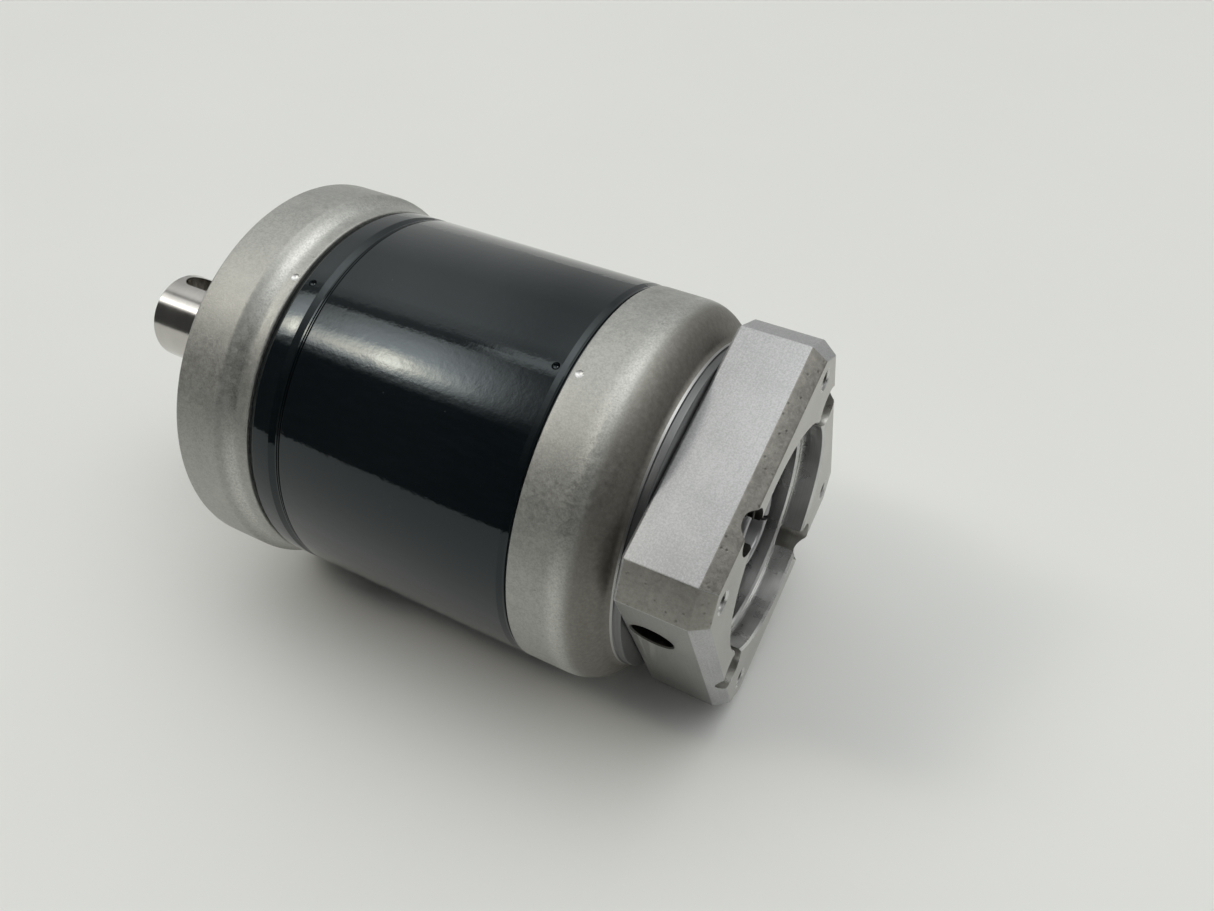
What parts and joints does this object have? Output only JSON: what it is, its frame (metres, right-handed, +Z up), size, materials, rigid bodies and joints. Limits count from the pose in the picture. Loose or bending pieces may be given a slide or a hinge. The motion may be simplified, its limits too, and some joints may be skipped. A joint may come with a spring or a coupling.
{
  "type": "planetary gearbox",
  "caption": "Two-stage inline planetary gearbox with round output flange, keyed shaft, black ring-gear tube and square clamp-hub motor adapter.",
  "frame": {"origin": "centre of the output mounting face, on the shaft axis", "axes": "X along the shaft axis with the output shaft to -X and the motor adapter to +X; +Z up as the gearbox lies on its flange"},
  "size_m": [0.1685, 0.09, 0.09],
  "materials": {
    "blasted_housing": "bead-blasted",
    "machined_adapter": "sawn and milled",
    "black_tube": "gloss black oxide",
    "ground_shaft": "ground",
    "gear_steel": "ground case-hardened",
    "bearing_steel": "polished",
    "cage_brass": "machined",
    "thrust_bronze": "turned",
    "seal_rubber": "moulded",
    "spring_steel": "tempered",
    "screw_steel": "black oxide"
  },
  "bodies": {
    "housing": {"output_housing": "blasted_housing", "ring_gear": "black_tube", "input_housing": "blasted_housing", "motor_adapter": "machined_adapter", "adapter_screws": "screw_steel", "output_seal": "seal_rubber", "output_seal_spring": "spring_steel", "output_o_ring": "seal_rubber", "input_o_ring": "seal_rubber", "front_bearing_outer": "bearing_steel", "rear_bearing_outer": "bearing_steel", "input_bearing_outer": "bearing_steel", "input_bearing_circlip": "spring_steel", "input_seal": "seal_rubber", "input_seal_spring": "spring_steel"},
    "output": {"output_shaft": "ground_shaft", "output_circlip": "spring_steel", "front_bearing_inner": "bearing_steel", "rear_bearing_inner": "bearing_steel", "output_planet_pins": "bearing_steel", "output_planet_needles": "bearing_steel", "output_planet_washers": "thrust_bronze"},
    "output_planet_a": {"output_planet_1": "gear_steel"},
    "output_planet_b": {"output_planet_2": "gear_steel"},
    "output_planet_c": {"output_planet_3": "gear_steel"},
    "middle": {"input_carrier": "gear_steel", "output_sun": "gear_steel", "carrier_thrust_washer": "thrust_bronze", "input_planet_pins": "bearing_steel", "input_planet_needles": "bearing_steel", "input_planet_washers": "thrust_bronze"},
    "input_planet_a": {"input_planet_1": "gear_steel"},
    "input_planet_b": {"input_planet_2": "gear_steel"},
    "input_planet_c": {"input_planet_3": "gear_steel"},
    "input": {"input_hub": "gear_steel", "input_sun": "gear_steel", "hub_circlip": "spring_steel", "clamp_collar": "screw_steel", "clamp_screw": "screw_steel", "input_bearing_inner": "bearing_steel"},
    "front_balls": {"front_bearing_balls": "bearing_steel", "front_bearing_cage": "cage_brass"},
    "rear_balls": {"rear_bearing_balls": "bearing_steel", "rear_bearing_cage": "cage_brass"},
    "input_balls": {"input_bearing_balls": "bearing_steel", "input_bearing_cage": "cage_brass"}
  },
  "joints": [
    {"name": "output_turn", "type": "hinge", "parent": "housing", "child": "output", "pos_m": [0, 0, 0], "axis": [1, 0, 0], "continuous": true},
    {"name": "middle_turn", "type": "hinge", "parent": "housing", "child": "middle", "pos_m": [0, 0, 0], "axis": [1, 0, 0], "continuous": true},
    {"name": "input_turn", "type": "hinge", "parent": "housing", "child": "input", "pos_m": [0, 0, 0], "axis": [1, 0, 0], "continuous": true},
    {"name": "output_planet_a_turn", "type": "hinge", "parent": "output", "child": "output_planet_a", "pos_m": [0.0465, 0, 0.0225], "axis": [1, 0, 0], "continuous": true},
    {"name": "input_planet_a_turn", "type": "hinge", "parent": "middle", "child": "input_planet_a", "pos_m": [0.0695, 0, 0.0225], "axis": [1, 0, 0], "continuous": true},
    {"name": "output_planet_b_turn", "type": "hinge", "parent": "output", "child": "output_planet_b", "pos_m": [0.0465, -0.01949, -0.01125], "axis": [1, 0, 0], "continuous": true},
    {"name": "input_planet_b_turn", "type": "hinge", "parent": "middle", "child": "input_planet_b", "pos_m": [0.0695, -0.01949, -0.01125], "axis": [1, 0, 0], "continuous": true},
    {"name": "output_planet_c_turn", "type": "hinge", "parent": "output", "child": "output_planet_c", "pos_m": [0.0465, 0.01949, -0.01125], "axis": [1, 0, 0], "continuous": true},
    {"name": "input_planet_c_turn", "type": "hinge", "parent": "middle", "child": "input_planet_c", "pos_m": [0.0695, 0.01949, -0.01125], "axis": [1, 0, 0], "continuous": true},
    {"name": "front_balls_turn", "type": "hinge", "parent": "housing", "child": "front_balls", "pos_m": [0, 0, 0], "axis": [1, 0, 0], "continuous": true},
    {"name": "rear_balls_turn", "type": "hinge", "parent": "housing", "child": "rear_balls", "pos_m": [0, 0, 0], "axis": [1, 0, 0], "continuous": true},
    {"name": "input_balls_turn", "type": "hinge", "parent": "housing", "child": "input_balls", "pos_m": [0, 0, 0], "axis": [1, 0, 0], "continuous": true}
  ],
  "couplings": [
    {"joint": "middle_turn", "follows": "output_turn", "ratio": 5},
    {"joint": "input_turn", "follows": "output_turn", "ratio": 25},
    {"joint": "output_planet_a_turn", "follows": "output_turn", "ratio": -2.6667},
    {"joint": "input_planet_a_turn", "follows": "output_turn", "ratio": -13.333},
    {"joint": "output_planet_b_turn", "follows": "output_turn", "ratio": -2.6667},
    {"joint": "input_planet_b_turn", "follows": "output_turn", "ratio": -13.333},
    {"joint": "output_planet_c_turn", "follows": "output_turn", "ratio": -2.6667},
    {"joint": "input_planet_c_turn", "follows": "output_turn", "ratio": -13.333},
    {"joint": "front_balls_turn", "follows": "output_turn", "ratio": 0.41471},
    {"joint": "rear_balls_turn", "follows": "output_turn", "ratio": 0.42481},
    {"joint": "input_balls_turn", "follows": "output_turn", "ratio": 9.9578}
  ]
}
